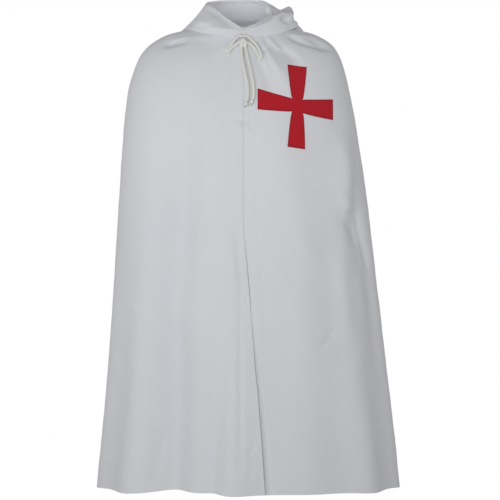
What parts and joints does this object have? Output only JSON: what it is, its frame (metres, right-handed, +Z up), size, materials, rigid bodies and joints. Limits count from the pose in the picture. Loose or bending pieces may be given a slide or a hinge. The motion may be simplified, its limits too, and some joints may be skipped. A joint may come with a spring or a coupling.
{
  "type": "hooded cape",
  "caption": "White cloth cape worn open at the hem, with its hood lying down behind the neck, a drawstring bow at the throat and a red flared cross on the breast.",
  "frame": {"origin": "middle of the neck, level with the root of the shoulders, where the wearer carries the cape", "axes": "+Z up, the front faces -Y, the wearer's left is +X"},
  "size_m": [0.7195, 0.5222, 1.1757],
  "materials": {
    "cloth": "dull white woven cloth",
    "cross": "dull red woven cloth",
    "cord": "cream braided cord"
  },
  "bodies": {
    "root": {"front_right": "cloth", "front_left": "cloth", "back": "cloth", "hood_right": "cloth", "hood_left": "cloth", "cross": "cross", "cord_knot": "cord", "cord_loop_right": "cord", "cord_loop_left": "cord", "cord_tail_right": "cord", "cord_tail_left": "cord", "cord_end_right": "cord", "cord_end_left": "cord"}
  },
  "joints": []
}
